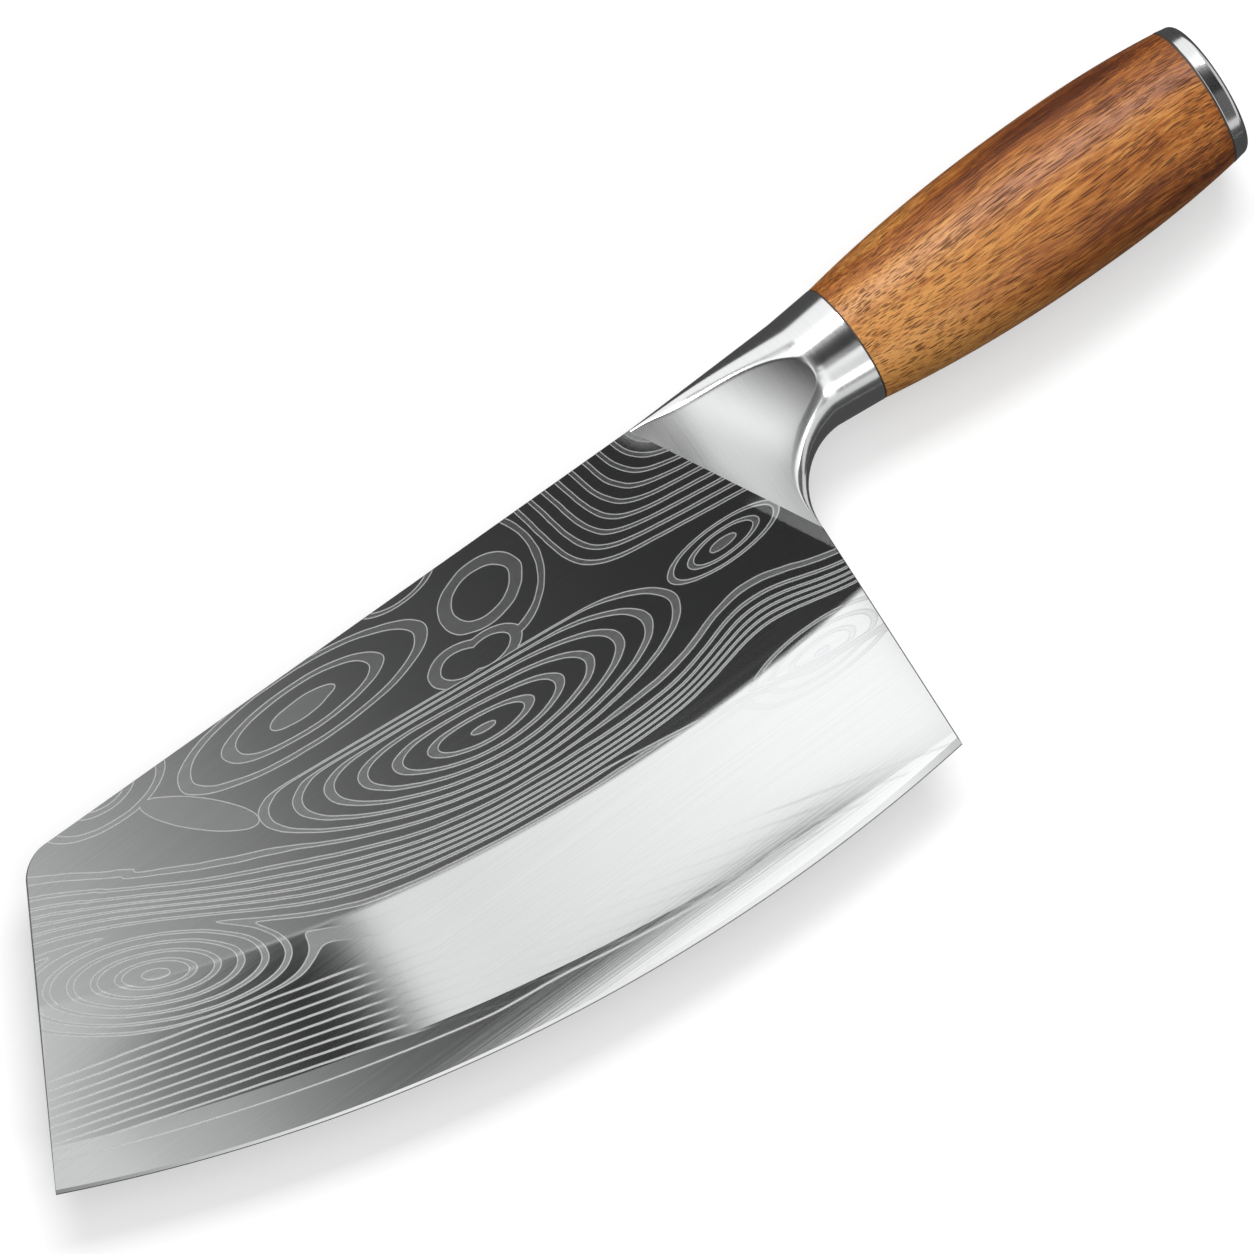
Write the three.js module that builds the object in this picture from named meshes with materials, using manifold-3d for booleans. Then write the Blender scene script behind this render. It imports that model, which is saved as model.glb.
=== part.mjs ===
// Broad-bladed kitchen cleaver: a ground steel blade welded to a hollow-ground bolster, with a barrel-shaped
// wooden handle drawn up by a rod, a washer and a nut that hide under a steel butt cap.
// Millimetres. +X runs from the blade to the butt, +Y from the cutting edge to the spine, and the blade lies
// flat, so +Z is square to its side. Until the last step X is 0 where the bolster ends, and Y is 0 on the
// handle's axis.
import * as THREE from 'three';
import { mergeVertices } from 'three/addons/utils/BufferGeometryUtils.js';
import Module from 'manifold-3d';

const wasm = await Module();
wasm.setup();

// Blade
const BLADE_LENGTH = 200; // toe to heel
const BLADE_HEIGHT = 91.5; // spine to the lowest point of the edge
const BLADE_THICKNESS = 2.5; // at the flat
const SPINE_ABOVE_AXIS = 11.1;
const EDGE_RADIUS = 387; // the edge is one long arc
const EDGE_LOW_POINT = 40.5; // the arc's lowest point, ahead of the heel
const FRONT_LEAN = 30.3; // degrees, front edge from upright
const HEEL_LEAN = 2.6; // degrees, heel from upright
const TIP_RADIUS = 8; // corner between the front edge and the spine

// The grind: three bevels, each the side of a flat cone
const GRIND_HEIGHT = 36.6; // the flat ends this far up from the edge
const BEVEL_ANGLE = 1.2; // degrees, main bevel
const BAND_ANGLE = 2.5; // degrees, steeper band above the edge
const BAND_EDGE_THICKNESS = 0.64; // left by the band at the edge's lowest point
const BAND_SKEW = 10; // the band's centre lies behind the edge's, so it widens towards the toe
const HONE_ANGLE = 12; // degrees, honed bevel
const EDGE_LAND = 0.16;

// Bolster
const COLLAR_LENGTH = 10.7; // the plain oval stretch before the wood
const COLLAR_FRONT_HEIGHT = 24.5;
const COLLAR_FRONT_THICKNESS = 19.8;
const COLLAR_REAR_HEIGHT = 26.4;
const COLLAR_REAR_THICKNESS = 21;
const CHOIL_RADIUS = 15; // finger curve between the collar and the heel
const SEAM_SETBACK = 35.9; // weld's spine end, ahead of the collar
const SEAM_LIP = 0.3; // how far the rounded lips would stand proud of the flat at the weld
const LIP_TAPER = 1.1; // how fast the bolster thins towards the weld
const LIP_SQUARENESS = 6; // how much squarer than an oval the section gets at the weld
const LIP_SQUARING = 10; // how late it gets square
const SCOOP_RADIUS = 76; // hollow ground into each side, across the weld
const SCOOP_ANGLE = 14; // degrees, how steeply the hollow leaves the flat at the choil; none at the spine

// Handle
const HANDLE_LENGTH = 87.6;
const BELLY_POSITION = 55; // fattest place, behind the bolster
const BELLY_HEIGHT = 34.6;
const BELLY_THICKNESS = 28.2;
const BARREL_CURVE = 2.2; // how late the barrel draws in towards its ends
const BUTT_HEIGHT = 30.7;
const BUTT_THICKNESS = 25.3;
const BUTT_SLANT = 3; // degrees, the butt leans back towards the spine
const GLUE_LINE = 0.4; // thickness of each bonding layer

// Butt cap
const CAP_THICKNESS = 4;
const CAP_RIM_RADIUS = 1.6;
const CAP_TAPER = 0.8; // how much narrower the cap is at its rim
const CAP_SPIGOT_LENGTH = 3;

// Rod, nut, washer and dowels
const ROD_DIAMETER = 6;
const ROD_IN_BOLSTER = 7.5;
const ROD_PAST_NUT = 1.5;
const EPOXY_WALL = 2;
const NUT_ACROSS_FLATS = 10;
const NUT_HEIGHT = 5;
const WASHER_DIAMETER = 16;
const WASHER_THICKNESS = 1.5;
const SPIGOT_CLEARANCE = 2; // free length between the rod's end and the cap
const DOWEL_DIAMETER = 3;
const DOWEL_IN_BOLSTER = 5;
const DOWEL_IN_WOOD = 7;
const DOWEL_OFFSET = 8; // each dowel from the handle's axis
const FIT_GAP = 0.3; // clearance all round a piece that sits in a hole

// Fineness of the round surfaces
const OVAL_SIDES = 48;
const HANDLE_RINGS = 16;
const LIP_RINGS = 16;
const SCOOP_COLUMNS = 24;
const SCOOP_ROWS = 12;
const RIM_STEPS = 4;
const TIP_STEPS = 10;
const EDGE_FACETS = 360; // on the whole circle of the edge's arc
const ROUND_SIDES = 24;

const rad = THREE.MathUtils.degToRad;
const lerp = THREE.MathUtils.lerp;

// Solids: closed meshes go to the boolean library and come back

function toSolid(geometry) {
  geometry.deleteAttribute('normal');
  geometry.deleteAttribute('uv');
  const merged = mergeVertices(geometry);
  return new wasm.Manifold(new wasm.Mesh({
    numProp: 3,
    vertProperties: new Float32Array(merged.attributes.position.array),
    triVerts: new Uint32Array(merged.index.array),
  }));
}

function toGeometry(solid) {
  const mesh = solid.getMesh();
  const geometry = new THREE.BufferGeometry();
  geometry.setAttribute('position', new THREE.BufferAttribute(mesh.vertProperties, 3));
  geometry.setIndex(new THREE.BufferAttribute(mesh.triVerts, 1));
  geometry.computeVertexNormals();
  return geometry;
}

// A skin over rings of equally many points, closed by a fan at each end.
function loft(rings) {
  const sides = rings[0].length;
  const middles = [rings[0], rings.at(-1)].map(
    (ring) => ring.reduce((sum, p) => sum.add(p), new THREE.Vector3()).divideScalar(sides),
  );
  const points = [...rings.flat(), ...middles];
  const first = rings.length * sides;
  const last = first + 1;
  const lastRing = first - sides;
  const faces = [];
  for (let i = 0; i < sides; i++) {
    const next = (i + 1) % sides;
    for (let r = 0; r + 1 < rings.length; r++) {
      const here = r * sides;
      const there = here + sides;
      faces.push(here + i, here + next, there + next, here + i, there + next, there + i);
    }
    faces.push(first, next, i, last, lastRing + i, lastRing + next);
  }
  const geometry = new THREE.BufferGeometry().setFromPoints(points);
  geometry.setIndex(faces);
  return geometry;
}

// An oval ring around the handle's axis; slope slants its plane, x growing with y.
function ovalRing(x, height, thickness, slope = 0) {
  return Array.from({ length: OVAL_SIDES }, (_, i) => {
    const turn = (2 * Math.PI * i) / OVAL_SIDES;
    const y = (height / 2) * Math.cos(turn);
    return new THREE.Vector3(x + y * slope, y, (thickness / 2) * Math.sin(turn));
  });
}

// A round bar along X, at height y.
function bar(fromX, toX, diameter, y = 0, sides = ROUND_SIDES) {
  const geometry = new THREE.CylinderGeometry(diameter / 2, diameter / 2, toX - fromX, sides);
  geometry.rotateZ(-Math.PI / 2);
  geometry.translate((fromX + toX) / 2, y, 0);
  return geometry;
}

function cut(geometry, tools) {
  return tools.reduce((solid, tool) => solid.subtract(toSolid(tool)), toSolid(geometry));
}

// Places that the pieces share

const collarFrontX = -COLLAR_LENGTH;
const choilCentre = new THREE.Vector2(collarFrontX, -COLLAR_FRONT_HEIGHT / 2 - CHOIL_RADIUS);
const seamTop = new THREE.Vector2(collarFrontX - SEAM_SETBACK, SPINE_ABOVE_AXIS);
const seamBottom = new THREE.Vector2(collarFrontX - CHOIL_RADIUS, choilCentre.y);
const edgeLowY = SPINE_ABOVE_AXIS - BLADE_HEIGHT;
const heelX = seamBottom.x - Math.tan(rad(HEEL_LEAN)) * (seamBottom.y - edgeLowY);
const edgeCentre = new THREE.Vector2(heelX - EDGE_LOW_POINT, edgeLowY + EDGE_RADIUS);

const woodFrontX = GLUE_LINE;
const woodRearX = woodFrontX + HANDLE_LENGTH;
const capFrontX = woodRearX + GLUE_LINE;
const buttSlope = Math.tan(rad(BUTT_SLANT));

const rodHole = ROD_DIAMETER + 2 * FIT_GAP;
const epoxyDiameter = rodHole + 2 * EPOXY_WALL;
const woodBore = epoxyDiameter + 2 * FIT_GAP;
const counterbore = WASHER_DIAMETER + 2 * FIT_GAP;
const clampStack = WASHER_THICKNESS + NUT_HEIGHT + ROD_PAST_NUT;
const counterboreFloorX = woodRearX - CAP_SPIGOT_LENGTH - SPIGOT_CLEARANCE - clampStack;
const rodFrontX = -ROD_IN_BOLSTER;
const rodRearX = counterboreFloorX + clampStack;
const dowelHole = DOWEL_DIAMETER + 2 * FIT_GAP;
const dowelPlaces = { dowel_upper: DOWEL_OFFSET, dowel_lower: -DOWEL_OFFSET };
const pastFace = 5; // how far a cutter runs beyond the face that it enters

// Holes for both dowels, from one depth to another.
function dowelHoles(fromX, toX) {
  return Object.values(dowelPlaces).map((y) => bar(fromX, toX, dowelHole, y));
}

// Blade: the plate's outline runs on below the edge, and wheel-shaped bodies about the edge's centre grind
// the bevels, which are the sides of flat cones. The honing wheel also trims the plate to the edge's arc.

function bladeOutline() {
  const toeX = heelX - BLADE_LENGTH;
  const toeY = edgeCentre.y - Math.sqrt(EDGE_RADIUS ** 2 - (toeX - edgeCentre.x) ** 2);
  const frontSlope = Math.tan(rad(FRONT_LEAN));
  const below = edgeLowY - pastFace;
  const frontAt = (y) => new THREE.Vector2(toeX + frontSlope * (y - toeY), y);
  const heelAt = (y) => new THREE.Vector2(seamBottom.x - Math.tan(rad(HEEL_LEAN)) * (seamBottom.y - y), y);

  // The rounded corner touches both lines at the same distance from where they would meet.
  const corner = frontAt(SPINE_ABOVE_AXIS);
  const opening = Math.PI / 2 + rad(FRONT_LEAN);
  const reach = TIP_RADIUS / Math.tan(opening / 2);
  const tipCentre = new THREE.Vector2(corner.x + reach, SPINE_ABOVE_AXIS - TIP_RADIUS);

  const shape = new THREE.Shape();
  shape.absarc(tipCentre.x, tipCentre.y, TIP_RADIUS, Math.PI - rad(FRONT_LEAN), Math.PI / 2, true);
  for (const point of [seamTop, seamBottom, heelAt(below), frontAt(below)]) shape.lineTo(point.x, point.y);
  shape.closePath();
  return shape;
}

// Two flat cones, base to base, that leave a given thickness at the edge and reach overhang past it.
function bevelWheel(centre, angle, edgeThickness, overhang) {
  const slope = Math.tan(rad(angle));
  const rim = EDGE_RADIUS + overhang;
  const crown = edgeThickness / 2 + EDGE_RADIUS * slope;
  const rimHalf = edgeThickness / 2 - overhang * slope;
  const profile = [[0, -crown], [rim, -rimHalf], [rim, rimHalf], [0, crown]];
  const wheel = new THREE.LatheGeometry(profile.map(([r, z]) => new THREE.Vector2(r, z)), EDGE_FACETS);
  wheel.rotateX(Math.PI / 2);
  wheel.translate(centre.x, centre.y, 0);
  return wheel;
}

function bladeGeometry() {
  const plate = new THREE.ExtrudeGeometry(bladeOutline(), {
    depth: BLADE_THICKNESS, bevelEnabled: false, curveSegments: TIP_STEPS,
  });
  plate.translate(0, 0, -BLADE_THICKNESS / 2);
  const bandCentre = edgeCentre.clone().add(new THREE.Vector2(BAND_SKEW, 0));
  const bevelEdge = BLADE_THICKNESS - 2 * GRIND_HEIGHT * Math.tan(rad(BEVEL_ANGLE));
  const wheels = [
    bevelWheel(edgeCentre, BEVEL_ANGLE, bevelEdge, BAND_SKEW / 2),
    bevelWheel(bandCentre, BAND_ANGLE, BAND_EDGE_THICKNESS, BAND_SKEW / 2),
    bevelWheel(edgeCentre, HONE_ANGLE, EDGE_LAND, 0),
  ];
  return toGeometry(wheels.reduce((blade, wheel) => blade.intersect(toSolid(wheel)), toSolid(plate)));
}

// Bolster: sections swing from the slanted weld round the choil to the upright collar. Each is an oval that
// squares up just before the weld. A hollow, deepest along the weld, is then ground into each side.

function bolsterRing(along) {
  const turn = (Math.PI / 2) * (1 + along);
  const fade = (1 - along) ** LIP_TAPER;
  const bottom = new THREE.Vector2(Math.cos(turn), Math.sin(turn)).multiplyScalar(CHOIL_RADIUS).add(choilCentre);
  const top = new THREE.Vector2(
    lerp(collarFrontX, seamTop.x, along),
    lerp(SPINE_ABOVE_AXIS, COLLAR_FRONT_HEIGHT / 2, fade),
  );
  const thickness = lerp(BLADE_THICKNESS + 2 * SEAM_LIP, COLLAR_FRONT_THICKNESS, fade);
  const power = 2 / (2 + LIP_SQUARENESS * along ** LIP_SQUARING);
  return Array.from({ length: OVAL_SIDES }, (_, i) => {
    const angle = (2 * Math.PI * i) / OVAL_SIDES;
    const up = Math.sign(Math.cos(angle)) * Math.abs(Math.cos(angle)) ** power;
    const out = Math.sign(Math.sin(angle)) * Math.abs(Math.sin(angle)) ** power;
    const place = bottom.clone().lerp(top, (1 + up) / 2);
    return new THREE.Vector3(place.x, place.y, (thickness / 2) * out);
  });
}

// What the wheel takes off one side, +1 or -1. Its floor starts flush with the blade's flat along the weld
// and curves up across it, the more steeply the nearer it is to the choil.
function scoopCutter(side) {
  const weld = seamBottom.clone().sub(seamTop);
  const weldLength = weld.length();
  const down = weld.normalize();
  const across = new THREE.Vector2(-down.y, down.x);
  const width = COLLAR_LENGTH + SEAM_SETBACK;
  const ceiling = COLLAR_REAR_THICKNESS + COLLAR_FRONT_THICKNESS;
  const rings = [];
  for (let row = 0; row <= SCOOP_ROWS; row++) {
    const far = lerp(-pastFace, weldLength + pastFace, row / SCOOP_ROWS);
    const slope = Math.tan(rad(SCOOP_ANGLE)) * (far / weldLength);
    const section = [];
    for (let column = 0; column <= SCOOP_COLUMNS; column++) {
      const out = lerp(-pastFace / SCOOP_COLUMNS, width, column / SCOOP_COLUMNS);
      section.push([out, BLADE_THICKNESS / 2 + out * slope + out ** 2 / (2 * SCOOP_RADIUS)]);
    }
    section.push([width, ceiling], [section[0][0], ceiling]);
    const ring = section.map(([out, z]) => {
      const spot = seamTop.clone().addScaledVector(down, far).addScaledVector(across, out);
      return new THREE.Vector3(spot.x, spot.y, side * z);
    });
    rings.push(side > 0 ? ring : ring.reverse());
  }
  return loft(rings);
}

function bolsterGeometry() {
  const rings = Array.from({ length: LIP_RINGS + 1 }, (_, i) => bolsterRing(1 - i / LIP_RINGS));
  rings.push(ovalRing(collarFrontX / 2, (COLLAR_FRONT_HEIGHT + COLLAR_REAR_HEIGHT) / 2,
    (COLLAR_FRONT_THICKNESS + COLLAR_REAR_THICKNESS) / 2));
  rings.push(ovalRing(0, COLLAR_REAR_HEIGHT, COLLAR_REAR_THICKNESS));
  return toGeometry(cut(loft(rings), [
    scoopCutter(1),
    scoopCutter(-1),
    bar(rodFrontX - FIT_GAP, pastFace, rodHole),
    ...dowelHoles(-DOWEL_IN_BOLSTER - FIT_GAP, pastFace),
  ]));
}

// Handle and butt cap: ovals on the handle's profile, whose planes slant more and more towards the butt.

function handleRing(x) {
  const ahead = x < BELLY_POSITION;
  const end = ahead ? woodFrontX : woodRearX;
  const drop = ((x - BELLY_POSITION) / (end - BELLY_POSITION)) ** BARREL_CURVE;
  const height = lerp(BELLY_HEIGHT, ahead ? COLLAR_REAR_HEIGHT : BUTT_HEIGHT, drop);
  const thickness = lerp(BELLY_THICKNESS, ahead ? COLLAR_REAR_THICKNESS : BUTT_THICKNESS, drop);
  return ovalRing(x, height, thickness, (buttSlope * (x - woodFrontX)) / HANDLE_LENGTH);
}

function handleGeometry() {
  const rings = Array.from({ length: HANDLE_RINGS + 1 },
    (_, i) => handleRing(lerp(woodFrontX, woodRearX, i / HANDLE_RINGS)));
  return toGeometry(cut(loft(rings), [
    bar(woodFrontX - pastFace, counterboreFloorX + pastFace, woodBore),
    bar(counterboreFloorX, woodRearX + pastFace, counterbore),
    ...dowelHoles(woodFrontX - pastFace, woodFrontX + DOWEL_IN_WOOD + FIT_GAP),
  ]));
}

function frontGlueGeometry() {
  const layer = loft([0, woodFrontX].map((x) => ovalRing(x, COLLAR_REAR_HEIGHT, COLLAR_REAR_THICKNESS)));
  const holes = [bar(-pastFace, pastFace, woodBore), ...dowelHoles(-pastFace, pastFace)];
  return toGeometry(cut(layer, holes));
}

function rearGlueGeometry() {
  const layer = loft([woodRearX, capFrontX].map((x) => ovalRing(x, BUTT_HEIGHT, BUTT_THICKNESS, buttSlope)));
  return toGeometry(cut(layer, [bar(woodRearX - pastFace, capFrontX + pastFace, counterbore)]));
}

function capGeometry() {
  const rings = [ovalRing(capFrontX, BUTT_HEIGHT, BUTT_THICKNESS, buttSlope)];
  const rimX = capFrontX + CAP_THICKNESS - CAP_RIM_RADIUS;
  for (let step = 0; step <= RIM_STEPS; step++) {
    const turn = (Math.PI / 2) * (step / RIM_STEPS);
    const inset = CAP_TAPER + 2 * CAP_RIM_RADIUS * (1 - Math.cos(turn));
    rings.push(ovalRing(rimX + CAP_RIM_RADIUS * Math.sin(turn), BUTT_HEIGHT - inset, BUTT_THICKNESS - inset,
      buttSlope));
  }
  const spigot = bar(woodRearX - CAP_SPIGOT_LENGTH, rimX, counterbore - 2 * FIT_GAP);
  return toGeometry(toSolid(loft(rings)).add(toSolid(spigot)));
}

// Hidden hardware in the handle

function nutGeometry() {
  const front = counterboreFloorX + WASHER_THICKNESS;
  const corners = NUT_ACROSS_FLATS / Math.cos(Math.PI / 6);
  return toGeometry(cut(bar(front, front + NUT_HEIGHT, corners, 0, 6),
    [bar(front - pastFace, front + NUT_HEIGHT + pastFace, rodHole)]));
}

function washerGeometry() {
  const rear = counterboreFloorX + WASHER_THICKNESS;
  return toGeometry(cut(bar(counterboreFloorX, rear, WASHER_DIAMETER),
    [bar(counterboreFloorX - pastFace, rear + pastFace, rodHole)]));
}

function epoxyGeometry() {
  return toGeometry(cut(bar(0, counterboreFloorX, epoxyDiameter),
    [bar(-pastFace, counterboreFloorX + pastFace, rodHole)]));
}

// Assembly

const steel = { color: 0xc4c6c8, roughness: 0.22, metalness: 1 };
const brushedSteel = { color: 0xb8babc, roughness: 0.32, metalness: 1 };
const glue = { color: 0x1d1815, roughness: 0.6, metalness: 0 };

const cleaver = new THREE.Group();

function place(name, geometry, look) {
  const mesh = new THREE.Mesh(geometry, new THREE.MeshStandardMaterial(look));
  mesh.name = name;
  cleaver.add(mesh);
}

place('blade', bladeGeometry(), steel);
place('bolster', bolsterGeometry(), brushedSteel);
place('front_glue_line', frontGlueGeometry(), glue);
place('handle', handleGeometry(), { color: 0x9a5a2a, roughness: 0.42, metalness: 0 });
place('rear_glue_line', rearGlueGeometry(), glue);
place('end_cap', capGeometry(), brushedSteel);
place('tang_rod', bar(rodFrontX, rodRearX, ROD_DIAMETER), brushedSteel);
place('tang_epoxy', epoxyGeometry(), { color: 0xc9b98a, roughness: 0.5, metalness: 0 });
place('clamp_washer', washerGeometry(), brushedSteel);
place('clamp_nut', nutGeometry(), brushedSteel);
for (const [name, y] of Object.entries(dowelPlaces)) {
  place(name, bar(-DOWEL_IN_BOLSTER, woodFrontX + DOWEL_IN_WOOD, DOWEL_DIAMETER, y), brushedSteel);
}

// The finished knife stands on the middle of its own footprint.
const box = new THREE.Box3().setFromObject(cleaver);
const middle = box.getCenter(new THREE.Vector3());
cleaver.position.set(-middle.x, -middle.y, -box.min.z);

export default cleaver;
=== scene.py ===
# %% [markdown]
# A kitchen cleaver, dressed for its portrait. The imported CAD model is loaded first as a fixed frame: it
# gives every place and size, in metres. Each visible piece is then modelled again with a finer surface, and
# gets a finish made of nodes alone.

# %% The frame
import math

import bmesh
import bpy
from mathutils import Matrix, Vector


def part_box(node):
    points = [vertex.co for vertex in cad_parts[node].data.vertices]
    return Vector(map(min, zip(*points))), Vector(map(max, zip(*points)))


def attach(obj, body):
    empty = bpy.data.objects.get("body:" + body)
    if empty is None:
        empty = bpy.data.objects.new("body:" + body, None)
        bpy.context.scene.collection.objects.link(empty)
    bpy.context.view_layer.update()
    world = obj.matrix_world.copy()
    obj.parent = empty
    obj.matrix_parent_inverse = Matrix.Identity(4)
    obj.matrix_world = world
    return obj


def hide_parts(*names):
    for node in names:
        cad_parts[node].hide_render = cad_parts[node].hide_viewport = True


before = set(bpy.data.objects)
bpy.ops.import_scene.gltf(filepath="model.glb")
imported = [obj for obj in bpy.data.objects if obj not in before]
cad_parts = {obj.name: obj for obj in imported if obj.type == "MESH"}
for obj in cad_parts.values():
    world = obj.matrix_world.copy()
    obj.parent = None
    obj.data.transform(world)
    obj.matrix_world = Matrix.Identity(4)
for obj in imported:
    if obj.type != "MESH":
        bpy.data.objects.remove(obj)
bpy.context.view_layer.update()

print("CAD nodes:", ", ".join(sorted(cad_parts)))

# %% [markdown]
# Knife makers measure from the joint between bolster and wood, on the handle's axis, in the middle of the
# blade's thickness. All sizes below are millimetres from that point, X towards the butt and Y towards the
# spine, so one small function turns them into the frame's metres.

# %% The knife's own coordinates
MM = 0.001
SPINE_ABOVE_AXIS = 11.1
blade_low, blade_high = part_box("blade")
joint = Vector((
    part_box("front_glue_line")[0][0],
    blade_high[1] - SPINE_ABOVE_AXIS * MM,
    (blade_low[2] + blade_high[2]) / 2,
))


def spot(x, y, z=0.0):
    return joint + Vector((x, y, z)) * MM


def lerp(a, b, share):
    return a + (b - a) * share


print("joint at", [round(c, 5) for c in joint])

# %% [markdown]
# The camera stands two metres off, turned 12 degrees towards the toe, and rolled so that the spine runs up
# to the right. A long lens keeps the knife almost free of perspective.

# %% The camera
VIEW_TURN = math.radians(12)
VIEW_ROLL = math.radians(35.5)
VIEW_DISTANCE = 2.0
VIEW_LENS = 289.7
VIEW_MIDDLE = (-69.746, -20.484)

view_axis = Vector((-math.sin(VIEW_TURN), 0, math.cos(VIEW_TURN)))
level_right = Vector((math.cos(VIEW_TURN), 0, math.sin(VIEW_TURN)))
level_up = Vector((0, 1, 0))
image_right = level_right * math.cos(VIEW_ROLL) - level_up * math.sin(VIEW_ROLL)
image_up = level_right * math.sin(VIEW_ROLL) + level_up * math.cos(VIEW_ROLL)

camera_data = bpy.data.cameras.new("portrait_camera")
camera_data.sensor_width = 36
camera_data.lens = VIEW_LENS
camera_data.clip_end = 50
camera = bpy.data.objects.new("portrait_camera", camera_data)
bpy.context.scene.collection.objects.link(camera)
stand = spot(*VIEW_MIDDLE) + view_axis * VIEW_DISTANCE
facing = Matrix((image_right, image_up, view_axis)).transposed().to_4x4()
camera.matrix_world = Matrix.Translation(stand) @ facing
bpy.context.scene.camera = camera
print("camera at", [round(c, 3) for c in stand])

# %% [markdown]
# Modelling by hand means: add a primitive, go into edit mode, pick some faces or edges, and use an operator
# on them. These helpers do the dull part. Everything is deselected before a primitive is added, because an
# operator works on all that is selected.

# %% Helpers for modelling
DRILL_SIDES = 64
MERGE_REACH = 0.002


def alone(piece=None):
    """Leaves edit mode and selects nothing, or only this piece."""
    if bpy.context.mode != "OBJECT":
        bpy.ops.object.mode_set(mode="OBJECT")
    bpy.ops.object.select_all(action="DESELECT")
    if piece:
        bpy.context.view_layer.objects.active = piece
        piece.select_set(True)


def named(name):
    """Names the primitive just added and puts its place into its mesh."""
    piece = bpy.context.active_object
    piece.name = name
    piece.data.name = name
    bpy.ops.object.transform_apply(location=True, rotation=True, scale=True)
    return piece


def edit(piece, kind="FACE"):
    alone(piece)
    bpy.ops.object.mode_set(mode="EDIT")
    bpy.ops.mesh.select_mode(type=kind)
    bpy.ops.mesh.select_all(action="SELECT")


def pick(piece, parts, test):
    """Selects only the edges or faces that pass the test, in edit mode."""
    bpy.ops.mesh.select_all(action="DESELECT")
    mesh = bmesh.from_edit_mesh(piece.data)
    chosen = [part for part in getattr(mesh, parts) if test(part)]
    for part in chosen:
        part.select_set(True)
    bmesh.update_edit_mesh(piece.data)


def done():
    bpy.ops.object.mode_set(mode="OBJECT")


def combine(piece, tool, operation):
    """Cuts, joins or keeps what two bodies share, then throws the tool away."""
    alone(piece)
    step = piece.modifiers.new(operation.lower(), "BOOLEAN")
    step.operation = operation
    step.solver = "EXACT"
    step.object = tool
    bpy.ops.object.modifier_apply(modifier=step.name)
    bpy.data.objects.remove(tool)


def rod(name, from_x, to_x, diameter, y=0.0):
    """A round bar along the knife."""
    alone()
    bpy.ops.mesh.primitive_cylinder_add(
        vertices=DRILL_SIDES, radius=diameter / 2 * MM, depth=(to_x - from_x) * MM,
        location=spot((from_x + to_x) / 2, y), rotation=(0, math.pi / 2, 0))
    return named(name)


def drill(piece, from_x, to_x, diameter, y=0.0):
    combine(piece, rod("drill", from_x, to_x, diameter, y), "DIFFERENCE")


def merge_points(piece):
    """Merges points that a cut has left on top of each other."""
    edit(piece)
    bpy.ops.mesh.remove_doubles(threshold=MERGE_REACH * MM)
    done()


def smooth(piece, angle):
    alone(piece)
    bpy.ops.object.shade_smooth_by_angle(angle=math.radians(angle))


def report(piece):
    piece.data.calc_loop_triangles()
    sizes = [round(c / MM, 1) for c in piece.dimensions]
    print(piece.name, "triangles", len(piece.data.loop_triangles), "size", sizes)


print("modelling helpers ready")

# %% [markdown]
# The blade starts as a plate. Three bisect cuts give the leaning front edge, the slanted weld to the
# bolster and the heel, and a bevel rounds the corner at the tip. A plate could also be drawn as a curve and
# extruded, but cuts keep its faces flat and its corners exact.

# %% Blade plate
BLADE_LENGTH = 200
BLADE_HEIGHT = 91.5
BLADE_HALF = 1.25
EDGE_RADIUS = 387
EDGE_LOW_POINT = 40.5
FRONT_LEAN = math.radians(30.3)
HEEL_LEAN = math.radians(2.6)
TIP_RADIUS = 8
COLLAR_FRONT_X = -10.7
COLLAR_FRONT_HEIGHT = 24.5
CHOIL_RADIUS = 15
SEAM_TOP_AHEAD = 35.9
SPARE_FRONT = 30
SPARE_EDGE = 5
SPARE_HEEL = 1
TIP_STEPS = 28
AT_CORNER = 0.1

choil_centre = Vector((COLLAR_FRONT_X, -COLLAR_FRONT_HEIGHT / 2 - CHOIL_RADIUS))
seam_top = Vector((COLLAR_FRONT_X - SEAM_TOP_AHEAD, SPINE_ABOVE_AXIS))
seam_bottom = Vector((COLLAR_FRONT_X - CHOIL_RADIUS, choil_centre.y))
edge_low_y = SPINE_ABOVE_AXIS - BLADE_HEIGHT
heel_x = seam_bottom.x - math.tan(HEEL_LEAN) * (seam_bottom.y - edge_low_y)
edge_centre = Vector((heel_x - EDGE_LOW_POINT, edge_low_y + EDGE_RADIUS))
toe_x = heel_x - BLADE_LENGTH
toe_y = edge_centre.y - math.sqrt(EDGE_RADIUS ** 2 - (toe_x - edge_centre.x) ** 2)
tip_x = toe_x + math.tan(FRONT_LEAN) * (SPINE_ABOVE_AXIS - toe_y)
seam_way = (seam_bottom - seam_top).normalized()
seam_across = Vector((-seam_way.y, seam_way.x))
front_out = Vector((-math.cos(FRONT_LEAN), math.sin(FRONT_LEAN)))
heel_out = Vector((math.cos(HEEL_LEAN), -math.sin(HEEL_LEAN)))

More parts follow.
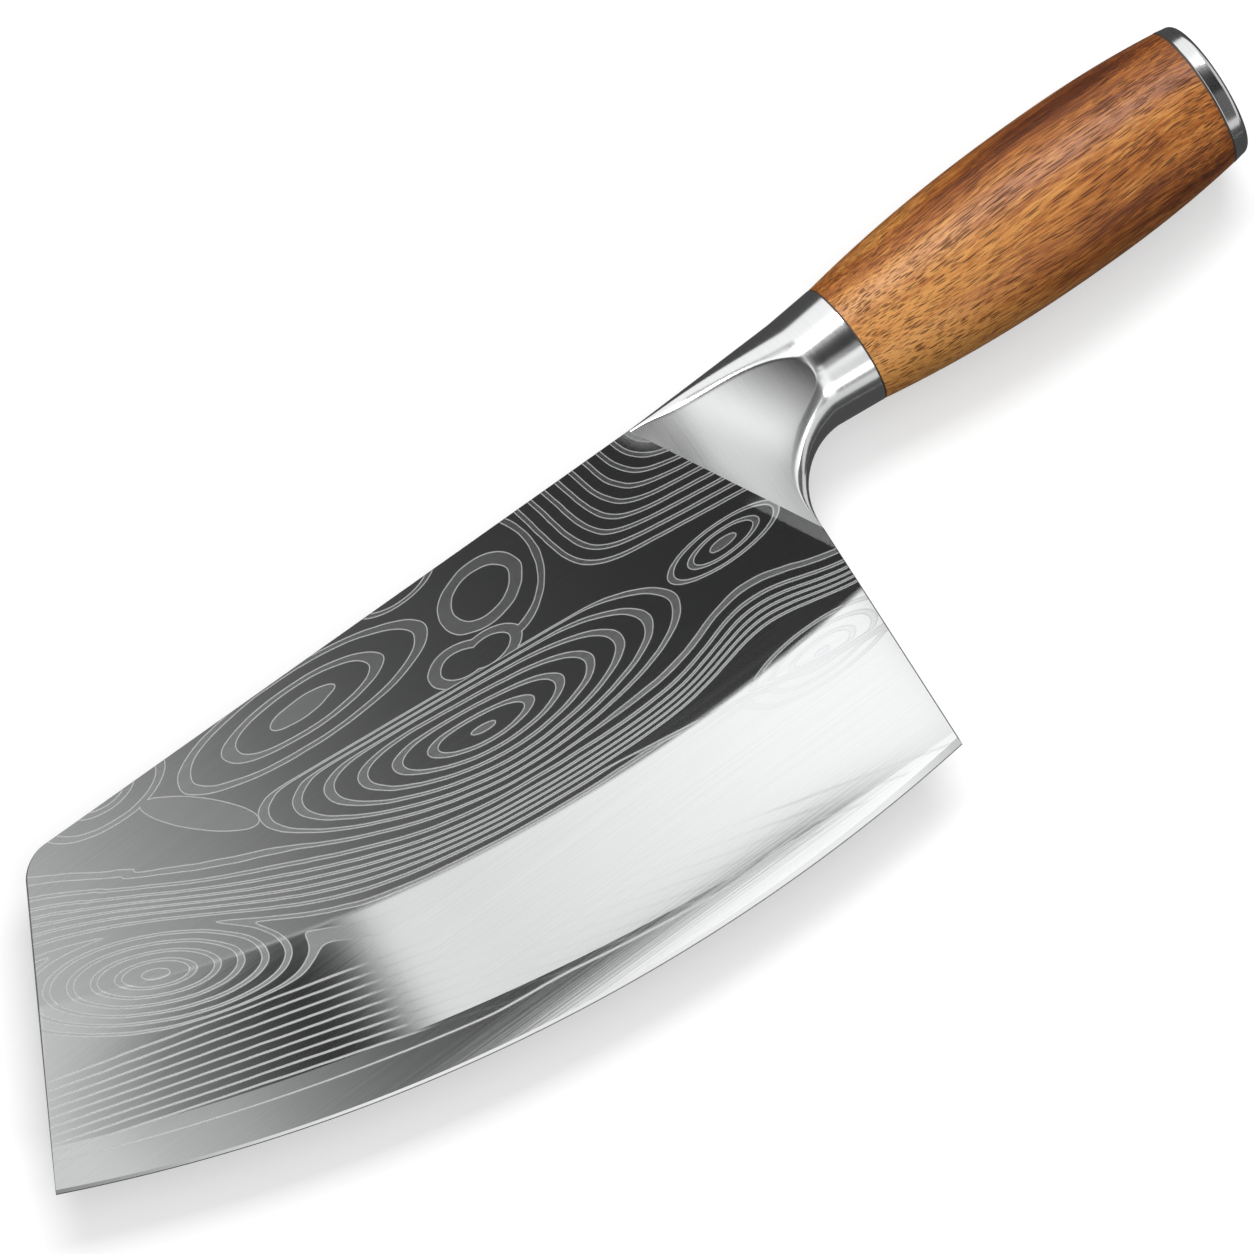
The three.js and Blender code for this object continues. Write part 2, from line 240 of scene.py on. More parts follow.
plate_low = Vector((toe_x - SPARE_FRONT, edge_low_y - SPARE_EDGE))
plate_high = Vector((seam_bottom.x + SPARE_HEEL, SPINE_ABOVE_AXIS))
plate_middle = (plate_low + plate_high) / 2
plate_size = plate_high - plate_low
alone()
bpy.ops.mesh.primitive_cube_add(size=1, location=spot(plate_middle.x, plate_middle.y),
                                scale=(plate_size.x * MM, plate_size.y * MM, 2 * BLADE_HALF * MM))
blade = named("etched_blade")
edit(blade)
for point, outward in [
    (Vector((toe_x, toe_y)), front_out),
    (seam_top, seam_across),
    (seam_bottom, heel_out),
]:
    bpy.ops.mesh.select_all(action="SELECT")
    bpy.ops.mesh.bisect(plane_co=spot(point.x, point.y), plane_no=(outward.x, outward.y, 0),
                        use_fill=True, clear_outer=True)
bpy.ops.mesh.select_mode(type="EDGE")
tip = spot(tip_x, SPINE_ABOVE_AXIS)
pick(blade, "edges", lambda e: all((v.co.xy - tip.xy).length < AT_CORNER * MM for v in e.verts))
tip_reach = TIP_RADIUS / math.tan((math.pi / 2 + FRONT_LEAN) / 2)
bpy.ops.mesh.bevel(offset=tip_reach * MM, segments=TIP_STEPS, affect="EDGES")
done()
report(blade)

# %% [markdown]
# The bevels are ground on big wheels, so each is the side of a very flat cone. Bevel and hone are centred
# on the edge's arc, and the band between them comes from a larger wheel set higher and further back, so it
# is broadest a little behind the toe. Here each wheel is modelled: a thin disc whose two faces are drawn out
# to a point. What disc and plate share is the ground blade. The last wheel is the steepest, and only takes
# the burr off the edge. Cuts as shallow as these leave points on top of each other, so they are merged.

# %% Blade grind
WHEEL_SIDES = 900
GRIND_HEIGHT = 36.6
BEVEL_SLOPE = math.tan(math.radians(1.2))
BAND_SLOPE = math.tan(math.radians(2.5))
HONE_SLOPE = math.tan(math.radians(12))
BURR_SLOPE = math.tan(math.radians(40))
BAND_EDGE_HALF = 0.349
HONE_EDGE_HALF = 0.12
BURR_EDGE_HALF = 0.01
BAND_RADIUS = EDGE_RADIUS + 60
BAND_BACK = 16.7
WHEEL_OVERHANG = 5
HONE_OVERHANG = 0.5

band_centre = edge_centre + Vector((BAND_BACK, BAND_RADIUS - EDGE_RADIUS))


def grinding_wheel(centre, radius, slope, edge_half, overhang):
    """A disc with sloping sides; edge_half is its half thickness at the radius, inside its overhang."""
    rim_half = edge_half - overhang * slope
    point_height = (radius + overhang) * slope
    alone()
    bpy.ops.mesh.primitive_cylinder_add(
        vertices=WHEEL_SIDES, radius=(radius + overhang) * MM, depth=2 * rim_half * MM,
        location=spot(centre.x, centre.y))
    wheel = named("grinding_wheel")
    edit(wheel)
    for side in (1, -1):
        pick(wheel, "faces", lambda f: f.normal.z * side > 0.9)
        rise_to_point = (0, 0, side * point_height * MM)
        bpy.ops.mesh.extrude_region_move(TRANSFORM_OT_translate={"value": rise_to_point})
        bpy.ops.mesh.merge(type="COLLAPSE")
    done()
    return wheel


for wheel_sizes in [
    (edge_centre, EDGE_RADIUS, BEVEL_SLOPE, BLADE_HALF - GRIND_HEIGHT * BEVEL_SLOPE, WHEEL_OVERHANG),
    (band_centre, BAND_RADIUS, BAND_SLOPE, BAND_EDGE_HALF, WHEEL_OVERHANG),
    (edge_centre, EDGE_RADIUS, HONE_SLOPE, HONE_EDGE_HALF, HONE_OVERHANG),
    (edge_centre, EDGE_RADIUS, BURR_SLOPE, BURR_EDGE_HALF, 0),
]:
    combine(blade, grinding_wheel(*wheel_sizes), "INTERSECT")
merge_points(blade)
report(blade)

# %% [markdown]
# No corner of a kitchen knife is left sharp but the cutting edge. A fine bevel breaks the corners of spine,
# tip and front, and a wider one those of the heel, so that they catch a thin line of light. The edges to
# bevel are found by their place, because the grind has left many others.

# %% Broken corners
SPINE_BREAK = 0.18
HEEL_BREAK = 0.3
HEEL_BREAK_ABOVE = 0.4
ON_SIDE = 0.004
ON_FLAT = 0.01
ON_TIP = 0.05

tip_centre = Vector((tip_x + tip_reach, SPINE_ABOVE_AXIS - TIP_RADIUS))


def on_outer_corner(vertex):
    """On the plate's flat side and also on its spine, rounded tip or front edge."""
    place = (vertex.co - joint) / MM
    on_side = abs(abs(place.z) - BLADE_HALF) < ON_SIDE
    on_spine = abs(place.y - SPINE_ABOVE_AXIS) < ON_FLAT
    on_front = abs((place.xy - Vector((toe_x, toe_y))).dot(front_out)) < ON_FLAT
    on_tip = abs((place.xy - tip_centre).length - TIP_RADIUS) < ON_TIP and place.x < tip_centre.x
    return on_side and (on_spine or on_front or on_tip)


def on_heel_corner(vertex, side):
    """On the heel's end and on one of the ground sides, where the blade is thick enough."""
    place = (vertex.co - joint) / MM
    on_heel = abs((place.xy - seam_bottom).dot(heel_out)) < ON_FLAT
    return on_heel and place.z * side > HEEL_BREAK_ABOVE


edit(blade, "EDGE")
pick(blade, "edges", lambda e: all(on_outer_corner(v) for v in e.verts))
bpy.ops.mesh.bevel(offset=SPINE_BREAK * MM, segments=2, affect="EDGES", clamp_overlap=True)
for side in (1, -1):
    pick(blade, "edges", lambda e: all(on_heel_corner(v, side) for v in e.verts))
    bpy.ops.mesh.bevel(offset=HEEL_BREAK * MM, segments=1, affect="EDGES", clamp_overlap=True)
merge_points(blade)
report(blade)

# %% [markdown]
# The bolster, handle, cap and glue lines are all rings of points, one behind the other. Each starts as a
# cylinder whose long edges are subdivided into rings, and then every ring is moved to the place and shape
# that it has on the knife. Scaling rings by hand gives ovals only, and here they also square up and swing
# round the finger curve, so the place of a point is worked out in code.

# %% Helper for ringed pieces
def ringed(name, sides, rings, place):
    """A cylinder in rings; place(ring, turn) gives each point in the knife's millimetres."""
    alone()
    bpy.ops.mesh.primitive_cylinder_add(vertices=sides, radius=1, depth=1, rotation=(0, math.pi / 2, 0))
    piece = named(name)
    edit(piece, "EDGE")
    if rings > 1:
        pick(piece, "edges", lambda e: abs(e.verts[0].co.x - e.verts[1].co.x) > 0.5)
        bpy.ops.mesh.subdivide(number_cuts=rings - 1)
    done()
    for vertex in piece.data.vertices:
        ring = round((vertex.co.x + 0.5) * rings)
        turn = math.atan2(vertex.co.z, vertex.co.y)
        vertex.co = spot(*place(ring, turn))
    edit(piece)
    bpy.ops.mesh.normals_make_consistent(inside=False)
    done()
    return piece


def oval(x, height, thickness, turn, slope=0.0):
    """A point on an upright oval at x, which leans by the slope."""
    y = height / 2 * math.cos(turn)
    return x + y * slope, y, thickness / 2 * math.sin(turn)


print("ring helpers ready")

# %% [markdown]
# The bolster is cast in one with an oval collar, and a wheel has ground a hollow into each side, flush with
# the blade along the weld and rising towards the collar. A Boolean cut would leave a knife-sharp ridge, but
# on the real one polishing has rounded it, so outer skin and hollow are joined by a soft minimum.

# %% Bolster
COLLAR_THICKNESS = 21
COLLAR_REAR_HEIGHT = 26.4
LIP_EDGE_HALF = BLADE_HALF + 0.3
LIP_FULLNESS = 1.1
LIP_RINGS = 120
COLLAR_RINGS = 36
BOLSTER_SIDES = 288
CROWDING = 1.6
SHOULDER_ROUNDING = 0.5
RIDGE_ROUNDING = 0.9
RIDGE_POINT_Y = 1
RIDGE_POINT_ROUNDING = 0.03
RIDGE_POINT_REACH = 4
RIDGE_POINT_FADE = 5

lip_length = COLLAR_FRONT_X - seam_top.x


def signed_power(value, power):
    return math.copysign(abs(value) ** power, value)


def soft_minimum(a, b, reach):
    share = max(reach - abs(a - b), 0) / reach
    return min(a, b) - share * share * reach / 4


def hollow(x, y):
    """Height of the ground hollow above the blade's middle."""
    here = Vector((x, y)) - seam_top
    out = max(here.dot(seam_across), 0)
    down = here.dot(seam_way)
    # both the slope at the weld and the wheel's curve grow from the spine down to the finger curve
    slope = 0.07 + 0.0039 * down
    curve = 0.00025 + 0.000243 * down
    return BLADE_HALF + out * (slope + out * curve)


def outer_half(ahead):
    """Half the thickness of the outer skin, by the distance in front of the collar."""
    lip = lerp(LIP_EDGE_HALF, COLLAR_THICKNESS / 2, (1 - ahead / lip_length) ** LIP_FULLNESS)
    return soft_minimum(lip, COLLAR_THICKNESS / 2, SHOULDER_ROUNDING)


def bolster_point(ring, turn):
    """Rings swing round the finger curve from the weld to the collar, then run straight to the wood."""
    along = max(1 - ring / LIP_RINGS, 0) ** CROWDING
    if along == 0:
        back = ((ring - LIP_RINGS) / COLLAR_RINGS) ** CROWDING
        x, y, z = oval(lerp(COLLAR_FRONT_X, 0, back), lerp(COLLAR_FRONT_HEIGHT, COLLAR_REAR_HEIGHT, back),
                       2 * outer_half(COLLAR_FRONT_X * back), turn)
    else:
        swing = math.pi / 2 * (1 + along)
        fade = (1 - along) ** LIP_FULLNESS
        bottom = choil_centre + Vector((math.cos(swing), math.sin(swing))) * CHOIL_RADIUS
        top = Vector((lerp(COLLAR_FRONT_X, seam_top.x, along),
                      lerp(SPINE_ABOVE_AXIS, COLLAR_FRONT_HEIGHT / 2, fade)))
        # near the weld the oval squares up to the blade's flat end
        power = 2 / (2 + 6 * along ** 10)
        x, y = bottom.lerp(top, (1 + signed_power(math.cos(turn), power)) / 2)
        z = outer_half(lip_length * along) * signed_power(math.sin(turn), power)
    softness = min(max(abs(y - RIDGE_POINT_Y) - RIDGE_POINT_REACH, 0) / RIDGE_POINT_FADE, 1)
    reach = lerp(RIDGE_POINT_ROUNDING, RIDGE_ROUNDING, softness) * max(1 - along, 0.01)
    return x, y, math.copysign(soft_minimum(abs(z), hollow(x, y), reach), z)


bolster = ringed("polished_bolster", BOLSTER_SIDES, LIP_RINGS + COLLAR_RINGS, bolster_point)
report(bolster)

# %% [markdown]
# The bolster's back has a deep hole for the rod and two small ones for the dowels that keep the handle from
# turning. Each is a Boolean cut with a cylinder, as a drill would make it. Smooth shading comes after the
# cuts, by angle, so that the rims of the holes stay crisp.

# %% Holes in the bolster
ROD_HOLE = 6.6
ROD_HOLE_DEPTH = 7.8
DOWEL_HOLE = 3.6
DOWEL_HOLE_DEPTH = 5.3
DOWEL_OFFSETS = (8, -8)
DRILL_SPARE = 5
BOLSTER_CREASE = 50


def drill_for_dowels(piece, from_x, to_x):
    for dowel_y in DOWEL_OFFSETS:
        drill(piece, from_x, to_x, DOWEL_HOLE, dowel_y)


drill(bolster, -ROD_HOLE_DEPTH, DRILL_SPARE, ROD_HOLE)
drill_for_dowels(bolster, -DOWEL_HOLE_DEPTH, DRILL_SPARE)
smooth(bolster, BOLSTER_CREASE)
report(bolster)

# %% [markdown]
# The handle is a barrel, fattest two thirds of the way back, and its end leans back a little. It could be
# spun on a lathe, but its section is an oval, so it is ringed like the bolster. The bore for the rod, the
# counterbore for the nut and two dowel holes are drilled as in the real wood.

# %% Handle
WOOD_FRONT_X = 0.4
WOOD_REAR_X = 88.0
BELLY_X = 55
BELLY = (34.6, 28.2)
BUTT = (30.7, 25.3)
BUTT_SLOPE = math.tan(math.radians(3))
BELLY_FULLNESS = 2.2
HANDLE_RINGS = 64
OVAL_SIDES = 160
OVAL_CREASE = 40
BORE = 11.2
COUNTERBORE = 16.6
COUNTERBORE_X = 75.0
WOOD_DOWEL_X = 7.7


def handle_point(ring, turn):
    x = lerp(WOOD_FRONT_X, WOOD_REAR_X, ring / HANDLE_RINGS)
    ahead = x < BELLY_X
    end_x = WOOD_FRONT_X if ahead else WOOD_REAR_X
    end = (COLLAR_REAR_HEIGHT, COLLAR_THICKNESS) if ahead else BUTT
    drop = ((x - BELLY_X) / (end_x - BELLY_X)) ** BELLY_FULLNESS
    return oval(x, lerp(BELLY[0], end[0], drop), lerp(BELLY[1], end[1], drop), turn,
                BUTT_SLOPE * ring / HANDLE_RINGS)


handle = ringed("wooden_handle", OVAL_SIDES, HANDLE_RINGS, handle_point)
drill(handle, -DRILL_SPARE, COUNTERBORE_X + DRILL_SPARE, BORE)
drill(handle, COUNTERBORE_X, WOOD_REAR_X + DRILL_SPARE, COUNTERBORE)
drill_for_dowels(handle, -DRILL_SPARE, WOOD_DOWEL_X)
smooth(handle, OVAL_CREASE)
report(handle)

# %% [markdown]
# The butt cap is a plate with a rounded rim, and a fine chamfer where it meets the wood, which shows as a
# bright line. A bevel modifier would round both rims alike, so the profile is written as steps along the
# knife, each with how far it stands in from the wood. The cap's spigot plugs the counterbore.

# %% Cap
CAP_FRONT_X = 88.4
CAP_THICKNESS = 4
CAP_CHAMFER = 0.2
CAP_CHAMFER_INSET = 0.36
CAP_SIDE_INSET = 0.02
CAP_RIM_RADIUS = 1.6
CAP_TAPER = 0.8
RIM_STEPS = 14
SPIGOT = 16
SPIGOT_LENGTH = 3

rim_x = CAP_FRONT_X + CAP_THICKNESS - CAP_RIM_RADIUS
cap_profile = [(CAP_FRONT_X, CAP_CHAMFER_INSET), (CAP_FRONT_X + CAP_CHAMFER, CAP_SIDE_INSET)]
for rim_step in range(RIM_STEPS + 1):
    rim_turn = math.pi / 2 * rim_step / RIM_STEPS
    cap_profile.append((rim_x + CAP_RIM_RADIUS * math.sin(rim_turn),
                        CAP_TAPER + 2 * CAP_RIM_RADIUS * (1 - math.cos(rim_turn))))


def cap_point(ring, turn):
    x, inset = cap_profile[ring]
    return oval(x, BUTT[0] - inset, BUTT[1] - inset, turn, BUTT_SLOPE)


cap = ringed("butt_cap", OVAL_SIDES, len(cap_profile) - 1, cap_point)
combine(cap, rod("spigot", WOOD_REAR_X - SPIGOT_LENGTH, rim_x, SPIGOT), "UNION")
smooth(cap, OVAL_CREASE)
report(cap)

# %% [markdown]
# The two glue lines are thin layers of dark resin, one in front of the wood and one behind it. They could be
# painted on as dark rings, but as pieces they have shrunk back a hair from the surface, and so keep a fine
# groove that stays dark from every side. Two rings of points are enough for each.

# %% Glue lines
GLUE_SHRINK = 0.12


def front_glue_point(ring, turn):
    return oval(WOOD_FRONT_X * ring, COLLAR_REAR_HEIGHT - GLUE_SHRINK, COLLAR_THICKNESS - GLUE_SHRINK, turn)


def rear_glue_point(ring, turn):
    return oval(lerp(WOOD_REAR_X, CAP_FRONT_X, ring), BUTT[0] - GLUE_SHRINK, BUTT[1] - GLUE_SHRINK, turn,
                BUTT_SLOPE)


front_glue = ringed("front_glue", OVAL_SIDES, 1, front_glue_point)
drill(front_glue, -DRILL_SPARE, DRILL_SPARE, BORE)
drill_for_dowels(front_glue, -DRILL_SPARE, DRILL_SPARE)
rear_glue = ringed("rear_glue", OVAL_SIDES, 1, rear_glue_point)
drill(rear_glue, WOOD_REAR_X - DRILL_SPARE, CAP_FRONT_X + DRILL_SPARE, COUNTERBORE)
for layer in (front_glue, rear_glue):
    smooth(layer, OVAL_CREASE)
    report(layer)

# %% [markdown]
# Finishes are node networks. Writing them link by link is long, so one small class wraps a socket: sums and
# products on it add Math nodes, and its node method adds any other node.

# %% Shader maths in Python
class Wire:
    """An output socket in a material's node tree."""

    def __init__(self, tree, socket=None):
        self.tree = tree
        self.socket = socket

    def node(self, kind, settings=(), sockets=(), out=0):
        made = self.tree.nodes.new(kind)
        for name, value in dict(settings).items():
            if name == "stops":
                ramp = made.color_ramp.elements
                while len(ramp) < len(value):
                    ramp.new(1.0)
                for element, (position, colour) in zip(ramp, value):
                    element.position = position
                    element.color = (*colour, 1.0)
            else:
                setattr(made, name, value)
        for name, value in dict(sockets).items():
            if isinstance(value, Wire):
                self.tree.links.new(value.socket, made.inputs[name])
            else:
                made.inputs[name].default_value = value
        return Wire(self.tree, made.outputs[out])

    def math(self, operation, *values, clamp=False):
        return self.node("ShaderNodeMath", {"operation": operation, "use_clamp": clamp}, enumerate(values))

    def __add__(self, other):
        return self.math("ADD", self, other)

    def __radd__(self, other):
        return self.math("ADD", other, self)

    def __sub__(self, other):
        return self.math("SUBTRACT", self, other)

    def __rsub__(self, other):
        return self.math("SUBTRACT", other, self)

    def __mul__(self, other):
        return self.math("MULTIPLY", self, other)

    def __rmul__(self, other):
        return self.math("MULTIPLY", other, self)

    def __truediv__(self, other):
        return self.math("DIVIDE", self, other)

    def __rtruediv__(self, other):
        return self.math("DIVIDE", other, self)


def rise(value, low, high):
    """0 below low, 1 above high, and a smooth step between; falls if low is above high."""
    if low < high:
        return value.node("ShaderNodeMapRange", {"interpolation_type": "SMOOTHSTEP"},
                          {"Value": value, "From Min": low, "From Max": high})
    return 1 - rise(value, high, low)


def mix_colour(share, a, b):
    return share.node("ShaderNodeMix", {"data_type": "RGBA"}, {0: share, 6: a, 7: b}, out=2)


def placed(wires, scale=(1, 1, 1), turn=(0, 0, 0), kind="POINT", move=(0, 0, 0)):
    """A place after scaling, turning and moving; the kind TEXTURE does the reverse."""
    return wires.node("ShaderNodeMapping", {"vector_type": kind},
                      {"Vector": wires, "Scale": scale, "Rotation": turn, "Location": move})


def axes(where):
    """The place's x, y and z as three wires."""
    split = where.node("ShaderNodeSeparateXYZ", {}, {0: where})
    return [Wire(where.tree, out) for out in split.socket.node.outputs]


def bell(off):
    """1 where off is 0, and falling smoothly to 0 on both sides."""
    return off.math("EXPONENT", 0 - off * off)


def noise(where, detail=2.0, roughness=0.5):
    return where.node("ShaderNodeTexNoise", {}, {"Vector": where, "Scale": 1.0, "Detail": detail,
                                                 "Roughness": roughness})


def finish(name):
    """A new material, its place in the knife's millimetres, and its main shader."""
    material = bpy.data.materials.new(name)
    material.use_nodes = True
    tree = material.node_tree
    where = Wire(tree).node("ShaderNodeTexCoord", out="Object")
    where = placed(where, scale=(1 / MM,) * 3, move=-joint / MM)
    return material, where, tree.nodes["Principled BSDF"]


def feed(shader, **values):
    """Sets or links the shader's sockets; Base_Color stands for Base Color."""
    for name, value in values.items():
        socket = shader.inputs[name.replace("_", " ")]
        if isinstance(value, Wire):
            value.tree.links.new(value.socket, socket)
        else:
            socket.default_value = value


def bump(height, depth):
    """A surface normal from a height, which is this many millimetres deep."""
    return height.node("ShaderNodeBump", {}, {"Height": height, "Distance": depth * MM, "Strength": 1.0})


print("shader helpers ready")

# %% [markdown]
# The blade's pattern looks like a map: contour lines round hills and along a slope. It could be drawn as
# dozens of curves, but a map needs few numbers and its lines never cross. A height is worked out for each
# place on the blade, from a long slope, rings and a fan of lines at the toe, and the acid has bitten where
# that height is near a half. For a lone hill the higher of it and the ground counts, so that its rings stay
# closed.

# %% Contour map of the etched pattern
# Each hill: centre x and y, reach of one level along and across, tilt in degrees, levels, flatness and
# ceiling
BIG_RINGS = (-105.6, -20.9, 7.0, 1.78, -1, 6.45, 0.8, 9)
TOE_RINGS = (-187.0, -22.2, 4.7, 1.62, -25, 6.6, 0.6, 9)
HEEL_RINGS = (-40.5, -46.9, 4.8, 1.5, 0, 3.3, 0.8, 9)
LONE_HILLS = [
    (-132.5, 3.76, 10.5, 2.77, -2, 3.11, 0.15, 2.5),
    (-90.2, 1.9, 9.8, 6.04, 8, 1.3, 0.2, 0.92),
    (-101.4, -7.6, 8.4, 4.3, -6, 1.2, 0.2, 0.92),
    (-95.6, -8.4, 8.4, 4.1, 0, 1.2, 0.2, 0.92),
    (-103.8, 12.7, 5.6, 2.1, 0, 2.0, 0.2, 0.92),
    (-175.5, 12.7, 7.0, 3.2, -3, 2.4, 0.15, 2.0),
    (-161.5, -1.6, 5.6, 1.5, -42, 2.3, 0.3, 0.6),
    (-44.2, -17.9, 5.0, 1.46, 0, 3.05, 0.15, 2.5),
]
# The slope's middle line and its breadth: a level, then swells of height, centre x and width
SLOPE_MIDDLE = [-39.2, (42.5, -222, 66), (4.7, -46.7, 16)]
SLOPE_BREADTH = [4.75, (3.6, -222, 40), (2.4, -150, 20), (1.2, -46.7, 16)]
SLOPE_HALF = 4.6
SLOPE_LEVEL = -4.5
FAN_START_X = -217
FAN_TOP_Y = -26
FAN_FALL = 0.262
FAN_STEP = 1.76
FAN_SPREAD = 0.005


def toe_fan(x, y):
    """Counts the straight lines that spread from the toe, downwards."""
    along = x - FAN_START_X
    return (FAN_TOP_Y - FAN_FALL * along - y) / (FAN_STEP + FAN_SPREAD * along)


def contour_height(x, y):
    """Height of the pattern's map at a place on the blade."""
    flat = x.node("ShaderNodeCombineXYZ", {}, {0: x, 1: y, 2: 1.0})

    def soft_max(a, b, reach):
        return x.math("SMOOTH_MAX", a, b, reach)

    def soft_min(a, b, reach):
        return x.math("SMOOTH_MIN", a, b, reach)

    def swelling(level, *swells):
        for lift, centre, width in swells:
            level = level + lift * bell((x - centre) / width)
        return level

    def length(place):
        return x.node("ShaderNodeVectorMath", {"operation": "LENGTH"}, {0: place}, out="Value")

    def hill(centre_x, centre_y, long, short, tilt, levels, top, ceiling, on=flat):
        near = placed(on, (long, short, 1 / top), (0, 0, math.radians(tilt)), "TEXTURE",
                      (centre_x, centre_y, 0))
        return soft_min(soft_max(levels + top - length(near), 0, 0.5), ceiling, 0.4)

    # the long slope from the front edge, under the big rings, to the heel, deeper towards the toe
    across = (y - swelling(*SLOPE_MIDDLE)) / swelling(*SLOPE_BREADTH)
    ground = SLOPE_HALF * x.math("TANH", across) + SLOPE_LEVEL
    deep = x.math("MAXIMUM", rise(x + 7 * (y + 41), -84, -100), rise(x, -104, -116))
    ground = soft_max(ground, -6.05 - 3.2 * deep, 0.3)
    # the big rings bend up towards the toe, and crowd together on their upper side
    bent = y - 0.2 * soft_max(BIG_RINGS[0] - x, 0, 20)
    bent = x.node("ShaderNodeCombineXYZ", {}, {0: x, 1: bent, 2: 1.0})
    crowd = (-9.6 - 0.085 * (x + 103.4) - y) / 1.03
    ground = ground + soft_min(hill(*BIG_RINGS, on=bent), soft_max(crowd, 0, 0.5), 0.8) + hill(*HEEL_RINGS)
    # the toe's rings stand at the foot of the slope, above the fan of lines
    ground = soft_max(ground, hill(*TOE_RINGS) - 9.2, 0.7)
    ground = ground - soft_min(soft_max(toe_fan(x, y), 0, 1), 9.2, 0.6)
    # lines in the corner by the spine and the bolster
    down = (x + 70.5 + 0.214 * (y + 5.5)) / 3.4 + 0.5
    across = (y + 9.7 + 0.12 * (x + 48.3)) / 2.0 + 0.5
    lone = soft_max(soft_min(down, across, 5) + 0.3, 0, 0.5)
    # an arc round the small ring, open towards the toe
    loop = length(placed(flat, (14.6, 13.0, 1e6), (0, 0, 0), "TEXTURE", (-90.6, 4.4, 0)))
    open_side = rise(0.563 * (x + 109.8) - 0.827 * (y + 7.5), -0.5, 2) * rise(x, -101, -97)
    lone = x.math("MAXIMUM", lone, 0.62 * open_side - 3.6 * x.math("ABSOLUTE", loop - 1))
    for sizes in LONE_HILLS:
        lone = x.math("MAXIMUM", lone, hill(*sizes))
    height = x.math("MAXIMUM", ground, lone + x.math("MINIMUM", ground + 0.3, 0))
    # a slow noise keeps the lines from looking drawn with a ruler
    return height - 0.1 + 0.16 * (noise(placed(flat, (0.1, 0.2, 1)), detail=1.0) - 0.5)


print("hills on the pattern's map:", 3 + len(LONE_HILLS))

# %% [markdown]
# On the real blade the polished ground mirrors the studio sharply, while the bitten bands are a little dull
# and their rims frosted. How far a place lies inside a band, in millimetres, is its height's distance from
# the band's edge divided by the map's steepness. The steepness comes from probing the height at two
# neighbouring places, and gives all lines the same fine rim.

# %% Bitten lines
BITE_WIDTH = 0.15
FAN_BITE_WIDTH = 0.06
RIM_WIDTH = 0.12
PROBE = 0.05
FLATTEST = 0.004
SOFT_EDGE = 0.06

blade_steel, where, shader = finish("etched_blade_steel")
x, y = axes(where)[:2]
height = contour_height(x, y)
climb_x = (contour_height(x + PROBE, y) - height) / PROBE
climb_y = (contour_height(x, y + PROBE) - height) / PROBE
steepness = where.math("SQRT", climb_x * climb_x + climb_y * climb_y)
phase = where.math("FRACT", height + 100)
bite_width = lerp(BITE_WIDTH, FAN_BITE_WIDTH, rise(toe_fan(x, y), 0, 0.5))
inside = (bite_width - where.math("ABSOLUTE", phase - 0.5)) / (steepness + FLATTEST)
bitten = rise(inside, -SOFT_EDGE, SOFT_EDGE)
rim = bell(inside / RIM_WIDTH)
print("bitten lines:", len(blade_steel.node_tree.nodes), "nodes")

# %% [markdown]
# Grinding has worn the pattern off the lower bevel and the band at the edge, and polishing the weld has
# smeared it in the corner by the spine. The acid only reached the sides, so the spine is bare. The wheels
# that shaped the blade also say here where bevel and band begin, so that finish and shape can't drift apart.

# %% Ground and polished places
GRIND_LINE_SOFTNESS = 0.2
GRIND_LINE_WIDTH = 0.4
BAND_SETBACK = 0.034
BAND_TOE_SETBACK = 0.031
BAND_SOFTNESS = 0.006
BAND_LINE_WIDTH = 0.004


def distance_from(centre):
    return where.node("ShaderNodeVectorMath", {"operation": "DISTANCE"},
                      {0: where, 1: (centre.x, centre.y, 0)}, out="Value")


arc = distance_from(edge_centre)
grind_line = EDGE_RADIUS - GRIND_HEIGHT
on_bevel = rise(arc, grind_line - GRIND_LINE_SOFTNESS, grind_line + GRIND_LINE_SOFTNESS)
blended = bell((arc - grind_line) / GRIND_LINE_WIDTH)
bevel_half = BLADE_HALF + (grind_line - arc) * BEVEL_SLOPE
band_half = BAND_EDGE_HALF + (BAND_RADIUS - distance_from(band_centre)) * BAND_SLOPE
into_band = bevel_half - band_half - BAND_SETBACK - BAND_TOE_SETBACK * rise(x, -118, -140)
on_band = rise(into_band, -BAND_SOFTNESS, BAND_SOFTNESS)
# the line where bevel meets band: rougher, and later a little lighter in colour, a painted highlight along
# that edge
band_line_rough_glint = bell(into_band / BAND_LINE_WIDTH) * rise(x, -62, -90)
brushing = noise(placed(where, (0.02, 2.6, 0.3), (0, 0, math.radians(2))), detail=4, roughness=0.6)
grain = brushing - 0.5
from_seam = (seam_top.x - x) * seam_across.x + (seam_top.y - y) * seam_across.y
strip = rise(y, -12, -17) * rise(from_seam + grain, 2.9, 2.3)
worn = (0.96 - 0.1 * rise(x, -75, -60)) * on_bevel * rise(x, -159, -146)
smear = rise(from_seam, 5, 0) * rise(y, 1, 9)
on_side = rise(y, SPINE_ABOVE_AXIS - 0.03, SPINE_ABOVE_AXIS - 0.1)
kept = (1 - worn) * (1 - on_band) * (1 - 0.8 * smear) * on_side
print("with ground places:", len(blade_steel.node_tree.nodes), "nodes")
